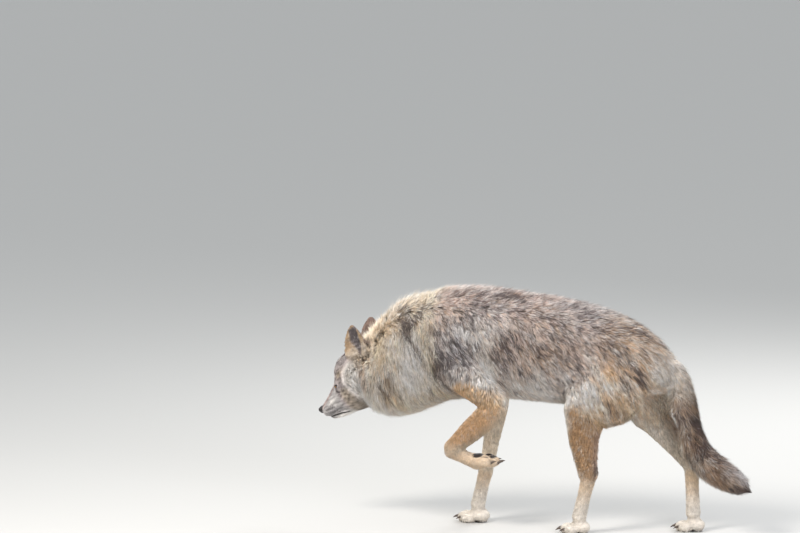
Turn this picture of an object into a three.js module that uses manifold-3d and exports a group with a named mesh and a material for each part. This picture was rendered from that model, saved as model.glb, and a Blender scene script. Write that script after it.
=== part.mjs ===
// A grey wolf, life size, walking slowly with its nose down.
// Millimetres, +Z up. The wolf faces -X, its left side is -Y, and it stands on Z = 0.
// The solids reach out to the tips of the coat. Each is one closed body, and a thin gap parts it
// from its neighbours. Lengths along X are counted from the withers until the last lines, which
// move the origin to the middle of the wolf's box, on the floor.
import * as THREE from 'three';
import { mergeVertices } from 'three/addons/utils/BufferGeometryUtils.js';
import Module from 'manifold-3d';

const wasm = await Module();
wasm.setup();

// ---- driving dimensions -------------------------------------------------------------------
const GAP = 0.4; // between one solid and the next
const TRUNK_SIDES = 20;
const HEAD_SIDES = 18;
const LIMB_SIDES = 10;

// Head: its own frame has x running back from the nose, y to the right side and z up.
const HEAD_PITCH = 33; // degrees, nose down
const HEAD_YAW = -12; // degrees, nose turned to the wolf's right
const HEAD_ROLL = 4; // degrees, crown tipped to the wolf's left
const NOSE_TIP = [-457.4, 47.5, 338];
const NOSE_HEIGHT = 6; // of the tip over the head's own axis
const EYE = { x: 123, y: 38, z: 41, radius: 12.5 };
const EAR = { base: [245, 62, 94], tip: [294, 75, 181], half: 39, cup: 30, wall: 8 };

const HIND_SCALE = 0.92; // of a hind paw to a fore paw

const COLOURS = {
  fur: new THREE.MeshStandardMaterial({ color: 0x9a8467, roughness: 0.9, metalness: 0 }),
  pale: new THREE.MeshStandardMaterial({ color: 0xcdbb9c, roughness: 0.9, metalness: 0 }),
  tan: new THREE.MeshStandardMaterial({ color: 0xb98a5a, roughness: 0.9, metalness: 0 }),
  nose: new THREE.MeshStandardMaterial({ color: 0x1d1a1a, roughness: 0.45, metalness: 0 }),
  eye: new THREE.MeshStandardMaterial({ color: 0xb07a2a, roughness: 0.1, metalness: 0 }),
  claw: new THREE.MeshStandardMaterial({ color: 0x2b2623, roughness: 0.5, metalness: 0 }),
};

// ---- helpers ------------------------------------------------------------------------------
const V = (x, y, z) => new THREE.Vector3(x, y, z);
const from = ([x, y, z]) => V(x, y, z);

/** A Manifold from a closed geometry, turned the right way out. */
function solid(geometry) {
  geometry.deleteAttribute('normal');
  geometry.deleteAttribute('uv');
  const merged = mergeVertices(geometry, 1e-4);
  const place = new Float32Array(merged.attributes.position.array);
  const index = new Uint32Array(merged.index.array);
  let volume = 0;
  for (let i = 0; i < index.length; i += 3) {
    const [a, b, c] = [0, 1, 2].map((k) => from(place.slice(3 * index[i + k], 3 * index[i + k] + 3)));
    volume += a.dot(b.cross(c));
  }
  if (volume < 0) index.reverse();
  return new wasm.Manifold(new wasm.Mesh({ numProp: 3, vertProperties: place, triVerts: index }));
}

/** Closed rings of equal length joined in order, with a point closing each end. */
function loft(rings) {
  const count = rings[0].length;
  const points = rings.flat();
  const index = [];
  for (let r = 0; r + 1 < rings.length; r++) {
    for (let i = 0; i < count; i++) {
      const [a, b] = [r * count + i, r * count + ((i + 1) % count)];
      index.push(a, b, a + count, b, b + count, a + count);
    }
  }
  for (const [ring, flip] of [[0, true], [rings.length - 1, false]]) {
    const middle = rings[ring].reduce((sum, p) => sum.add(p), V(0, 0, 0)).divideScalar(count);
    points.push(middle);
    for (let i = 0; i < count; i++) {
      const [a, b] = [ring * count + i, ring * count + ((i + 1) % count)];
      index.push(...(flip ? [b, a] : [a, b]), points.length - 1);
    }
  }
  const geometry = new THREE.BufferGeometry().setFromPoints(points);
  geometry.setIndex(index);
  return solid(geometry);
}

/** An egg-shaped ring: `high` and `low` reach up and down, `half` to each side. A `round` of 1 is
 * a true curve, and less than 1 is boxier. */
function egg(middle, side, up, half, high, low, sides, narrow = 0, round = 1) {
  const boxy = (value) => Math.sign(value) * Math.pow(Math.abs(value), round);
  return Array.from({ length: sides }, (_, i) => {
    const angle = (2 * Math.PI * (i + 0.5)) / sides;
    const [c, s] = [boxy(Math.cos(angle)), boxy(Math.sin(angle))];
    const across = half * c * (1 - narrow * s);
    return middle.clone().addScaledVector(side, across).addScaledVector(up, s > 0 ? high * s : low * s);
  });
}

/** A limb between two joints. Rows: place along it from 0 to 1, front, back and side reach. */
function limb([a, b], rows, grow = 0) {
  const axis = from(b).sub(from(a));
  const long = axis.length();
  axis.normalize();
  const fore = V(axis.z, 0, -axis.x).normalize();
  const side = axis.clone().cross(fore).normalize();
  const place = (s) => from(a).addScaledVector(axis, s * long);
  const rings = rows.map(([s, front, back, half]) =>
    egg(place(s), side, fore, half + grow, front + grow, back + grow, LIMB_SIDES));
  const end = ([s, front, back, half], way) => {
    const reach = [half, front, back].map((size) => 0.66 * (size + grow));
    return egg(place(s).addScaledVector(axis, 0.55 * way * (half + grow)), side, fore, ...reach, LIMB_SIDES);
  };
  return loft([end(rows[0], -1), ...rings, end(rows[rows.length - 1], 1)]);
}

/** An ellipsoid of flat faces. */
function ball([x, y, z], [rx, ry, rz], grow = 0) {
  const geometry = new THREE.IcosahedronGeometry(1, 1);
  geometry.scale(rx + grow, ry + grow, rz + grow).translate(x, y, z);
  return solid(geometry);
}

/** Cuts every other solid, given as a function of its growth, out of the first. */
const clear = (body, ...others) => others.reduce((left, other) => left.subtract(other(GAP)), body);

const join = (...solids) => solids.reduce((sum, one) => sum.add(one));

/** The largest of the bodies that a cut has left. */
const largest = (body) => body.decompose().reduce((a, b) => (a.volume() > b.volume() ? a : b));

/** The part of a body ahead of (way 1) or behind (way -1) a plane, half a gap away from it. */
function beyond(body, point, normal, way) {
  const face = from(normal).normalize().multiplyScalar(way);
  return body.trimByPlane(face.toArray(), face.dot(from(point)) + GAP / 2);
}

// ---- trunk and neck -----------------------------------------------------------------------
// Rows: x, back line, belly line, half width, middle y, height of the widest line as a part of
// the depth, and how much narrower the upper half is.
const TRUNK = [
  [-304, 590, 398, 78, 12, 0.42, 0.26],
  [-276, 640, 362, 104, 8, 0.42, 0.26],
  [-240, 676, 342, 122, 4, 0.42, 0.2],
  [-198, 716, 331, 131, 0, 0.43, 0.15],
  [-142, 742, 346, 134, 0, 0.45, 0.12],
  [-80, 754, 371, 134, 0, 0.47, 0.1],
  [-14, 772, 400, 133, 0, 0.5, 0.06],
  [60, 777, 409, 134, 0, 0.52, 0.02],
  [150, 771, 412, 136, 0, 0.52, 0],
  [260, 759, 406, 133, 0, 0.5, 0],
  [370, 746, 400, 126, 0, 0.5, 0],
  [480, 722, 414, 122, 0, 0.5, 0.04],
  [560, 694, 432, 120, 0, 0.5, 0.1],
  [630, 656, 440, 108, 0, 0.5, 0.14],
  [686, 608, 446, 82, 0, 0.5, 0.16],
  [722, 550, 462, 44, 0, 0.5, 0.1],
];

function trunk() {
  return loft(TRUNK.map(([x, top, bottom, half, y, waist, narrow]) => {
    const middle = bottom + waist * (top - bottom);
    return egg(V(x, y, middle), V(0, 1, 0), V(0, 0, 1), half, top - middle, middle - bottom, TRUNK_SIDES, narrow);
  }));
}

// ---- head ---------------------------------------------------------------------------------
const headTurn = new THREE.Matrix4().makeRotationFromEuler(new THREE.Euler(
  ...[HEAD_ROLL, -HEAD_PITCH, HEAD_YAW].map(THREE.MathUtils.degToRad), 'ZYX'));
const headOrigin = from(NOSE_TIP).sub(V(0, 0, NOSE_HEIGHT).applyMatrix4(headTurn));
const inWorld = (body) => body.transform(headTurn.clone().setPosition(headOrigin).toArray());

// Rows: x, top, bottom, half width, height of the widest line, how much narrower the top is, and
// how round the ring is.
const SKULL = [
  [14, 17, -18, 22, 0, 0.02, 0.8],
  [29, 23, -24, 28, -1, 0.02, 0.78],
  [50, 31, -28, 33, 0, 0.02, 0.76],
  [78, 46, -34, 37, 2, 0.06, 0.78],
  [102, 60, -45, 43, 6, 0.1, 0.82],
  [117, 82, -56, 49, 11, 0.12, 0.86],
  [132, 103, -62, 57, 18, 0.16, 0.9],
  [155, 119, -66, 72, 22, 0.15, 0.94],
  [196, 126, -68, 88, 24, 0.14, 1],
  [240, 120, -66, 93, 26, 0.12, 1],
  [276, 100, -50, 80, 26, 0.1, 1],
];

// The lower jaw, before the muzzle is cut out of it. Rows: x, top, bottom, half width.
const JAW = [
  [25, -12, -30, 13],
  [33, -10, -38, 20],
  [54, -10, -46, 26],
  [84, -10, -53, 32],
  [112, -12, -58, 38],
];

/** How far a ring moves outwards along its loft when the loft grows: only the two end rings do. */
const spread = (i, count, grow) => (i === 0 ? -grow : i === count - 1 ? grow : 0);

function skull(grow = 0) {
  return loft(SKULL.map(([x, top, bottom, half, wide, narrow, round], i, all) => {
    const middle = V(x + spread(i, all.length, grow), 0, wide);
    return egg(middle, V(0, 1, 0), V(0, 0, 1), half + grow, top - wide + grow, wide - bottom + grow,
      HEAD_SIDES, narrow, round);
  }));
}

function jaw() {
  return loft(JAW.map(([x, top, bottom, half]) => {
    const middle = (top + bottom) / 2;
    return egg(V(x, 0, middle), V(0, 1, 0), V(0, 0, 1), half, top - middle, middle - bottom, 10, 0, 0.8);
  }));
}

/** The nose pad, wider at the top. */
function nosePad(grow = 0) {
  const rows = [[2, 13, 7, 6], [6, 18, 12, 10], [14, 20, 14, 12], [25, 17, 12, 10]];
  return loft(rows.map(([x, half, high, low], i) => {
    const middle = V(x + spread(i, rows.length, grow), 0, NOSE_HEIGHT + 1);
    return egg(middle, V(0, 1, 0), V(0, 0, 1), half + grow, high + grow, low + grow, 12, -0.25);
  }));
}

const eyeball = (side) => (grow = 0) => ball([EYE.x, side * EYE.y, EYE.z], Array(3).fill(EYE.radius), grow);

/** One ear: crescent rings from inside the skull to the tip, open outwards and forwards. */
function ear(side) {
  return (grow = 0) => {
    const base = V(EAR.base[0], side * EAR.base[1], EAR.base[2]);
    const tip = V(EAR.tip[0], side * EAR.tip[1], EAR.tip[2]);
    const axis = tip.clone().sub(base).normalize();
    const open = V(-0.15, side, 0.1);
    open.addScaledVector(axis, -open.dot(axis)).normalize();
    const across = axis.clone().cross(open).normalize();
    const high = tip.distanceTo(base);
    return loft([-0.2, 0, 0.2, 0.4, 0.6, 0.78, 0.9, 0.98].map((h) => {
      const half = EAR.half * Math.pow(1 - Math.pow(Math.max(h, 0), 2), 0.75) * (h < 0 ? 0.86 : 1) + 2;
      const cup = EAR.cup * (1 - 0.7 * Math.max(h, 0));
      const middle = base.clone().addScaledVector(axis, h * high + (h < 0 ? -grow : 0));
      const arc = (reach, depth, turn) => middle.clone()
        .addScaledVector(across, reach * Math.sin(turn))
        .addScaledVector(open, -depth * Math.cos(turn));
      const turns = [-1.5, -0.9, -0.3, 0.3, 0.9, 1.5];
      const hollow = grow > 0 ? 0 : THREE.MathUtils.smoothstep(h, 0.02, 0.3);
      const depth = hollow * Math.max(cup - EAR.wall, 1) - grow - (1 - hollow);
      const outer = turns.map((turn) => arc(half + grow, cup + grow, turn));
      const inner = turns.slice(1, 5).reverse().map((turn) => arc(half - EAR.wall, depth, turn));
      return [...outer, ...inner];
    }));
  };
}

// ---- legs ---------------------------------------------------------------------------------
// Each piece: its two joints and its rows, as limb() reads them.
const FORE_LEFT = {
  upper_arm: [[[0, -84, 540], [164, -86, 400]],
    [[0, 62, 70, 46], [0.35, 62, 74, 48], [0.7, 50, 62, 44], [1, 40, 46, 36]]],
  forearm: [[[166, -86, 399], [4, -76, 255]],
    [[0, 46, 38, 36], [0.25, 44, 42, 37], [0.6, 38, 38, 32], [0.85, 30, 31, 27], [1, 27, 25, 26]]],
};
const FORE_RIGHT = {
  upper_arm: [[[16, 84, 540], [122, 86, 394]],
    [[0, 62, 70, 46], [0.35, 62, 74, 48], [0.7, 50, 60, 42], [1, 38, 44, 36]]],
  forearm: [[[120, 85, 398], [86, 68, 172]],
    [[0, 42, 38, 36], [0.25, 34, 36, 34], [0.6, 27, 28, 27], [0.85, 24, 25, 24], [1, 24, 24, 25]]],
};
const HIND_LEFT = {
  thigh: [[[588, -68, 576], [424, -84, 418]],
    [[0, 66, 100, 38], [0.3, 84, 150, 54], [0.65, 74, 158, 54], [0.9, 62, 128, 48], [1.02, 54, 104, 42]]],
  shank: [[[424, -84, 420], [456, -72, 182]],
    [[0, 50, 100, 42], [0.25, 50, 86, 38], [0.5, 50, 56, 33], [0.78, 41, 41, 27], [1, 32, 36, 24]]],
};
const HIND_RIGHT = {
  thigh: [[[602, 66, 590], [588, 84, 380]],
    [[0, 78, 62, 40], [0.3, 104, 98, 54], [0.65, 96, 112, 54], [0.9, 70, 108, 48], [1.02, 58, 98, 42]]],
  shank: [[[588, 84, 366], [756, 76, 206]],
    [[0, 42, 88, 42], [0.25, 28, 80, 37], [0.5, 25, 60, 31], [0.78, 23, 43, 26], [1, 25, 35, 24]]],
};

// Feet: ankle joint, where the foot bends to the ground, and where the toes point.
const FEET = {
  fore_left: { ankle: [2, -76, 250], knuckle: [100, -74, 212], toes: [1, 0, -0.12], lifted: true },
  fore_right: { ankle: [84, 68, 168], knuckle: [58, 64, 48], toes: [-1, 0.1, 0] },
  hind_left: { ankle: [456, -72, 178], knuckle: [424, -68, 44], toes: [-1, -0.06, 0] },
  hind_right: { ankle: [757, 76, 204], knuckle: [766, 70, 46], toes: [-1, 0.06, 0] },
};

const piece = ([joints, rows]) => (grow = 0) => limb(joints, rows, grow);

/** Places toe-frame shapes (x to the toes, z away from the ground) under a foot. */
function footFrame({ knuckle, toes, lifted }) {
  const ahead = from(toes).normalize();
  const up = lifted ? V(0.25, 0, 1).negate() : V(0, 0, 1);
  up.addScaledVector(ahead, -up.dot(ahead)).normalize();
  const side = up.clone().cross(ahead);
  const ground = lifted ? from(knuckle).addScaledVector(up, -30) : V(knuckle[0], knuckle[1], 0);
  return new THREE.Matrix4().makeBasis(ahead, side, up).setPosition(ground);
}

const TOES = [
  { at: [40, 13, 17], size: [25, 14, 19] },
  { at: [24, 32, 16], size: [24, 14, 18] },
];

function foot(name, grow = 0) {
  const spec = FEET[name];
  const scale = name.startsWith('hind') ? HIND_SCALE : 1;
  const place = footFrame(spec).toArray();
  const shaft = limb([spec.ankle, spec.knuckle],
    [[0, 25, 26, 25], [0.4, 23, 22, 23], [0.95, 25, 24, 30]], grow);
  const toes = TOES.flatMap(({ at: [x, y, z], size }) => [y, -y].map((across) =>
    ball([x * scale, across * scale, z * scale], size.map((r) => r * scale), grow)));
  const palm = ball([-4 * scale, 0, 22 * scale], [38 * scale, 37 * scale, 26 * scale], grow);
  return join(shaft, join(palm, ...toes).transform(place));
}

/** A claw: a curved cone that starts just off the front of a toe and ends over the ground. */
function claw(name, x, y, z) {
  const rows = [[GAP, 1.5, 4], [7, -0.5, 3.2], [14, -6, 1]];
  const rings = rows.map(([ahead, lift, radius]) =>
    egg(V(x + ahead, y, z + lift), V(0, 1, 0), V(0, 0, 1), radius * 0.8, radius, radius, 5));
  return loft(rings).transform(footFrame(FEET[name]).toArray());
}

function claws(name) {
  const scale = name.startsWith('hind') ? HIND_SCALE : 1;
  return TOES.flatMap(({ at: [x, y, z], size }) => [y, -y].map((across) =>
    claw(name, (x + size[0]) * scale, across * scale, z * scale)));
}

// ---- tail ---------------------------------------------------------------------------------
// Rows: x, z, reach to each side of the line, half width.
const TAIL = [
  [700, 560, 30, 30],
  [733, 506, 37, 38],
  [752, 428, 41, 42],
  [764, 348, 43, 45],
  [788, 272, 50, 50],
  [843, 214, 54, 54],
  [902, 182, 47, 48],
  [948, 157, 30, 32],
  [970, 144, 10, 12],
];

function tail(grow = 0) {
  return loft(TAIL.map(([x, z, reach, half], i) => {
    const [before, after] = [TAIL[Math.max(i - 1, 0)], TAIL[Math.min(i + 1, TAIL.length - 1)]];
    const axis = V(after[0] - before[0], 0, after[1] - before[1]).normalize();
    const middle = V(x, 0, z).addScaledVector(axis, spread(i, TAIL.length, grow));
    return egg(middle, V(0, 1, 0), V(-axis.z, 0, axis.x), half + grow, reach + grow, reach + grow, 12);
  }));
}

// ---- the wolf -----------------------------------------------------------------------------
const parts = new Map();

function keep(name, body, material) {
  const { vertProperties, triVerts, numProp } = largest(body).getMesh();
  const geometry = new THREE.BufferGeometry();
  const points = new Float32Array((vertProperties.length / numProp) * 3);
  for (let i = 0; i < points.length / 3; i++) {
    for (let k = 0; k < 3; k++) points[3 * i + k] = vertProperties[i * numProp + k];
  }
  geometry.setAttribute('position', new THREE.BufferAttribute(points, 3));
  geometry.setIndex(new THREE.BufferAttribute(new Uint32Array(triVerts), 1));
  const mesh = new THREE.Mesh(geometry, material);
  mesh.name = name;
  parts.set(name, mesh);
}

function buildHead() {
  const eyes = [eyeball(-1), eyeball(1)];
  const ears = [ear(-1), ear(1)];
  const head = clear(skull(), nosePad, ...eyes, ...ears);
  keep('head', inWorld(head), COLOURS.fur);
  keep('jaw', inWorld(clear(jaw(), skull, nosePad)), COLOURS.pale);
  keep('nose', inWorld(nosePad()), COLOURS.nose);
  ['left', 'right'].forEach((hand, i) => {
    keep(`eye_${hand}`, inWorld(eyes[i]()), COLOURS.eye);
    keep(`ear_${hand}`, inWorld(ears[i]()), COLOURS.tan);
  });
}

function buildLeg(name, pieces) {
  const names = Object.keys(pieces);
  const nails = claws(name);
  const { ankle, knuckle } = FEET[name];
  const bend = from(ankle).lerp(from(knuckle), 0.84).toArray();
  const down = from(knuckle).sub(from(ankle)).toArray();
  const standing = foot(name).trimByPlane([0, 0, 1], 0);
  keep(`paw_${name}`, beyond(standing, bend, down, 1), COLOURS.pale);
  keep(`pastern_${name}`, beyond(standing, bend, down, -1), COLOURS.pale);
  nails.forEach((nail, i) => keep(`claw_${name}_${i + 1}`, nail, COLOURS.claw));
  let lower = (grow = 0) => foot(name, grow);
  names.reverse().forEach((part) => {
    const whole = piece(pieces[part]);
    keep(`${part}_${name}`, clear(whole(), lower), COLOURS.tan);
    const below = lower;
    lower = (grow) => join(whole(grow), below(grow));
  });
  return lower;
}

buildHead();
const legs = [
  buildLeg('fore_left', FORE_LEFT),
  buildLeg('fore_right', FORE_RIGHT),
  buildLeg('hind_left', HIND_LEFT),
  buildLeg('hind_right', HIND_RIGHT),
];
const wholeHead = (grow) => inWorld(join(skull(grow), ear(-1)(grow), ear(1)(grow)));
const body = clear(trunk(), wholeHead, tail, ...legs);
const NECK_CUT = [[-46, 0, 600], [1, 0, 0.16]];
const LOIN_CUT = [[292, 0, 600], [1, 0, 0.1]];
const RUMP_CUT = [[500, 0, 600], [1, 0, 0.1]];
keep('neck', beyond(body, ...NECK_CUT, -1), COLOURS.pale);
keep('chest', beyond(beyond(body, ...NECK_CUT, 1), ...LOIN_CUT, -1), COLOURS.fur);
keep('loin', beyond(beyond(body, ...LOIN_CUT, 1), ...RUMP_CUT, -1), COLOURS.fur);
keep('rump', beyond(body, ...RUMP_CUT, 1), COLOURS.fur);

const TAIL_CUTS = [[[764, 0, 420], [0, 0, -1]], [[806, 0, 248], [1, 0, -1]]];
keep('tail_root', beyond(tail(), ...TAIL_CUTS[0], -1), COLOURS.fur);
keep('tail_middle', beyond(beyond(tail(), ...TAIL_CUTS[0], 1), ...TAIL_CUTS[1], -1), COLOURS.fur);
keep('tail_tip', beyond(tail(), ...TAIL_CUTS[1], 1), COLOURS.fur);

const wolf = new THREE.Group();
wolf.add(...parts.values());
const box = new THREE.Box3().setFromObject(wolf);
const centre = box.getCenter(new THREE.Vector3());
wolf.position.set(-centre.x, -centre.y, -box.min.z);

export default wolf;
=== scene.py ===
import math
from functools import partial

import bmesh
import bpy
import numpy as np
from mathutils import Matrix, Vector
from mathutils.bvhtree import BVHTree
from mathutils.kdtree import KDTree


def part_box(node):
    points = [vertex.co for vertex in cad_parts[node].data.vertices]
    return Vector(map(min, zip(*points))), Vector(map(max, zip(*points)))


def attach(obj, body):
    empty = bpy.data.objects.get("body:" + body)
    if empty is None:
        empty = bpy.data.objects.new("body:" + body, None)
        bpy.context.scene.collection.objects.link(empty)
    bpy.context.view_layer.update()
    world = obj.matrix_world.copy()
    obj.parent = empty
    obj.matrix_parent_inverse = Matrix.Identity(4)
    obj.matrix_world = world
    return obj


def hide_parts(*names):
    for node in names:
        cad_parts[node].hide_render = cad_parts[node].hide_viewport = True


# A grey wolf, life size and still, as a museum shows it: one skin, a coat of solid tufts, glass
# eyes, a leathery nose, claws and whiskers. Metres, with the wolf facing -X and its left at -Y.

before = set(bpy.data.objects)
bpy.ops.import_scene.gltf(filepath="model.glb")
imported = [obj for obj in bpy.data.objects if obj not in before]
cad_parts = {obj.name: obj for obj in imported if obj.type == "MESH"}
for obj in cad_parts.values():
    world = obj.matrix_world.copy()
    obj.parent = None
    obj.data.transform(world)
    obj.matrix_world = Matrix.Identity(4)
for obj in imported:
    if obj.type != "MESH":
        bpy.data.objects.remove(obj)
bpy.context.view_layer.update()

MM = 0.001
rng = np.random.default_rng(7)
scene = bpy.context.scene

EYES = ["eye_left", "eye_right"]
CLAWS = sorted(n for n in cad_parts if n.startswith("claw_"))
FLESH = sorted(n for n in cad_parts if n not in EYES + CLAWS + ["nose"])
UPPER = {"fore": ["upper_arm_", "forearm_"], "hind": ["thigh_", "shank_"]}
LEGS = {f"{end}_{side}": [*upper, "pastern_", "paw_"]
        for end, upper in UPPER.items() for side in ("left", "right")}


# ---- numbers ----
def unit(v):
    """Vectors of length 1."""
    return v / np.maximum(np.linalg.norm(v, axis=-1, keepdims=True), 1e-9)


def ease(x, start, end):
    """0 before start, 1 after end, and smooth between them. End may be below start."""
    t = np.clip((x - start) / (end - start), 0, 1)
    return t * t * (3 - 2 * t)


def mix(a, b, t):
    return a + (b - a) * t


def middle(node):
    low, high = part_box(node)
    return np.array((low + high) / 2)


def toes(foot):
    """The middle of a foot's claws."""
    return np.mean([middle(c) for c in CLAWS if foot in c], 0)


# ---- meshes and objects ----
def read(items, name, width, kind=np.float32):
    """One value of each of a mesh's items, as rows."""
    values = np.empty(len(items) * width, kind)
    items.foreach_get(name, values)
    return values.reshape(-1, width)


def write(items, name, values, kind=np.float32):
    items.foreach_set(name, np.asarray(values).astype(kind).ravel())


def points_of(mesh):
    return read(mesh.vertices, "co", 3).astype(float)


def normals_of(mesh):
    return read(mesh.vertices, "normal", 3).astype(float)


def edges_of(mesh):
    return read(mesh.edges, "vertices", 2, np.int32)


def move(mesh, points):
    write(mesh.vertices, "co", points)
    mesh.update()


def attribute(mesh, name, kind, values):
    """A value kept at each vertex, for the materials."""
    layer = mesh.attributes.new(name, kind, "POINT")
    write(layer.data, "color" if kind == "FLOAT_COLOR" else "value", values)


def mesh_of(form, name):
    """The mesh of a form, which ends there."""
    mesh = bpy.data.meshes.new(name)
    form.to_mesh(mesh)
    form.free()
    return mesh


def put(name, data):
    """A new object in the scene."""
    body = bpy.data.objects.new(name, data)
    scene.collection.objects.link(body)
    return body


def as_modified(body):
    """A mesh of the object as its modifiers leave it."""
    bpy.context.view_layer.update()
    return bpy.data.meshes.new_from_object(body.evaluated_get(bpy.context.evaluated_depsgraph_get()))


def remeshed(mesh, size):
    """The mesh drawn anew as one closed surface, with faces of this size."""
    body = put(mesh.name, mesh)
    remesh = body.modifiers.new("remesh", "REMESH")
    remesh.mode, remesh.voxel_size = "VOXEL", size
    whole = as_modified(body)
    bpy.data.objects.remove(body)
    return whole


def welded(node):
    """A form of one of the frame's nodes, with its corners joined."""
    form = bmesh.new()
    form.from_mesh(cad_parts[node].data)
    bmesh.ops.remove_doubles(form, verts=form.verts, dist=1e-5)
    return form


def which_is_nearest(points, places):
    """For each place, the index of the nearest of the points."""
    tree = KDTree(len(points))
    for k, p in enumerate(points):
        tree.insert(p, k)
    tree.balance()
    return np.array([tree.find(p)[1] for p in places.tolist()])


def relax(values, edges, rounds, share=0.5):
    """Evens out values, one row for each vertex, along a mesh's edges."""
    count = len(values)
    a, b = edges.T
    degree = np.maximum(np.bincount(edges.ravel(), minlength=count), 1)[:, None]
    ends, others = np.concatenate([a, b]), np.concatenate([b, a])
    out = values.astype(float)
    for _ in range(rounds):
        around = np.stack([np.bincount(ends, out[others, k], count) for k in range(out.shape[1])], 1)
        out = mix(out, around / degree, share)
    return out


def fair(points, edges, rounds):
    """Evens out facets without shrinking the form."""
    for _ in range(rounds):
        points = relax(relax(points, edges, 1, 0.5), edges, 1, -0.53)
    return points


# ---- the head's own frame ----
# x runs back from the nose, y to the right side and z up, in millimetres.
EYE_AHEAD, EYE_UP = 123, 41
NOSE_TO_EYE_ABOVE_AXIS = math.radians(16.9)
eye_l, eye_r = middle("eye_left"), middle("eye_right")
head_y = unit(eye_r - eye_l)
between_eyes = (eye_l + eye_r) / 2
rising = between_eyes - middle("nose")
rising = unit(rising - head_y * (rising @ head_y))
upright = np.cross(rising, head_y)
head_x = unit(rising * math.cos(NOSE_TO_EYE_ABOVE_AXIS) - upright * math.sin(NOSE_TO_EYE_ABOVE_AXIS))
head_z = np.cross(head_x, head_y)
HEAD_AXES = np.stack([head_x, head_y, head_z])
head_origin = between_eyes - MM * (EYE_AHEAD * head_x + EYE_UP * head_z)
EYE_SIDE = float((eye_r - between_eyes) @ head_y) / MM
EYE_RADIUS = 12.5
EAR_LOW, EAR_HIGH, EAR_ROOT_X, EAR_TIP_X = 94, 181, 245, 294  # in the head's frame


def in_head(points):
    return (points - head_origin) @ HEAD_AXES.T / MM


def from_head(points):
    return np.asarray(points, float) @ HEAD_AXES * MM + head_origin


def folded(q):
    """Places in the head's frame, with those on the left brought over to the right."""
    return q * [1, 0, 1] + np.abs(q) * [0, 1, 0]


def hill(q, place, size):
    """A round swelling of 1 at a place and its mirror image, fading over a size."""
    return np.exp(-(((folded(q) - place) / size) ** 2).sum(1))


# ---- the skin's first form: the flesh joined into one body ----
VOXEL = 3.8 * MM
CLOSE_GAP = 0.6 * MM  # each solid grows by this, so that the thin gaps between them close

joined = bmesh.new()
for name in FLESH + EYES:
    part = welded(name)
    bmesh.ops.recalc_face_normals(part, faces=part.faces)
    part.normal_update()
    for v in part.verts:
        v.co += v.normal * CLOSE_GAP
    piece = mesh_of(part, "piece")
    joined.from_mesh(piece)
    bpy.data.meshes.remove(piece)
outer = remeshed(mesh_of(joined, "body"), VOXEL)

# ---- what each part of the body wears ----
def behind_ruff_edge(q):
    """How far a place in the head's frame is behind the front edge of the cheek's long hair."""
    return q[:, 0] - np.interp(q[:, 2], [-60, -8, 42, 76, 100], [191, 177, 156, 172, 212])


# For each kind of part: how deep its coat is, how long its tufts are and how wide, in mm.
COAT = {
    "head": (5, 12, 1.0), "jaw": (2.5, 7, 0.9), "ear": (0.8, 9, 0.9),
    "neck": (42, 74, 2.2), "chest": (28, 48, 2.1), "loin": (25, 45, 2.1), "rump": (27, 50, 2.1),
    "tail_root": (26, 56, 2.3), "tail_middle": (28, 62, 2.4), "tail_tip": (28, 62, 2.4),
    "upper_arm": (13, 30, 2.0), "forearm": (5, 15, 1.3), "thigh": (21, 44, 2.2),
    "shank": (9, 22, 1.4), "pastern": (4, 10, 1.1), "paw": (3, 8, 1.0),
}


def kind_of(node):
    return max((k for k in COAT if node.startswith(k)), key=len)


node_faces, node_verts, node_of_face = [], [], []
for i, name in enumerate(FLESH):
    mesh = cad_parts[name].data
    start = len(node_verts)
    node_verts.extend(v.co[:] for v in mesh.vertices)
    node_faces.extend([start + k for k in p.vertices] for p in mesh.polygons)
    node_of_face.extend([i] * len(mesh.polygons))
flesh_tree = BVHTree.FromPolygons(node_verts, node_faces)

shell = points_of(outer)
shell_normals = normals_of(outer)
shell_edges = edges_of(outer)
outline_tree = BVHTree.FromPolygons(shell.tolist(), [list(p.vertices) for p in outer.polygons])
nearest = [flesh_tree.find_nearest(p)[2] for p in shell]
label = np.array(node_of_face)[nearest]
is_node = {name: label == i for i, name in enumerate(FLESH)}


def of_kind(*kinds):
    return np.any([is_node[n] for n in FLESH if kind_of(n) in kinds], axis=0)


depth, length, width = (np.zeros(len(shell)) for _ in range(3))
for name in FLESH:
    depth[is_node[name]], length[is_node[name]], width[is_node[name]] = COAT[kind_of(name)]

# On the head the coat is shortest at the muzzle and runs into the neck's at the back and cheeks.
local = in_head(shell)
(hx, _, hz), (nx, ny, nz) = local.T, shell_normals.T
on_head = of_kind("head")
cheek = 0.96 * ease(behind_ruff_edge(local), -6, 16) * ease(hz, 100, 74)
back = np.clip(np.maximum(cheek, ease(hx, 205, 275)), 0, 1)
face = ease(hx, 85, 150)
for values, muzzle, brow, nape in ((depth, 2.2, 5, 38), (length, 5.5, 11, 64), (width, 0.75, 0.95, 2.1)):
    grown = mix(mix(muzzle, brow, face), nape, back)
    values[on_head] = grown[on_head]
# It is longer at the back of the thighs and rump, where the thigh overhangs, and at the throat.
length += 16 * of_kind("thigh", "rump", "tail_root") * ease(nx, 0.15, 0.7)
rearmost = shell[is_node["thigh_hind_left"], 0].max()
hanging = of_kind("thigh") * ease(shell[:, 0], rearmost - 0.16, rearmost - 0.07)
hanging = hanging * ease(shell[:, 2], 0.46, 0.42)
length += 30 * hanging
throat = of_kind("jaw") * ease(hx, 80, 112)
depth += 6 * throat
length += 14 * throat

# No coat takes more than a share of the body's thickness, or the skin would turn inside out.
MOST_OF_THICKNESS = 0.36
start, inwards = shell - shell_normals * MM, -shell_normals
through = [outline_tree.ray_cast(p, w)[3] or 1.0 for p, w in zip(start.tolist(), inwards.tolist())]
depth = np.minimum(depth, MOST_OF_THICKNESS * np.array(through) / MM)

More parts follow.
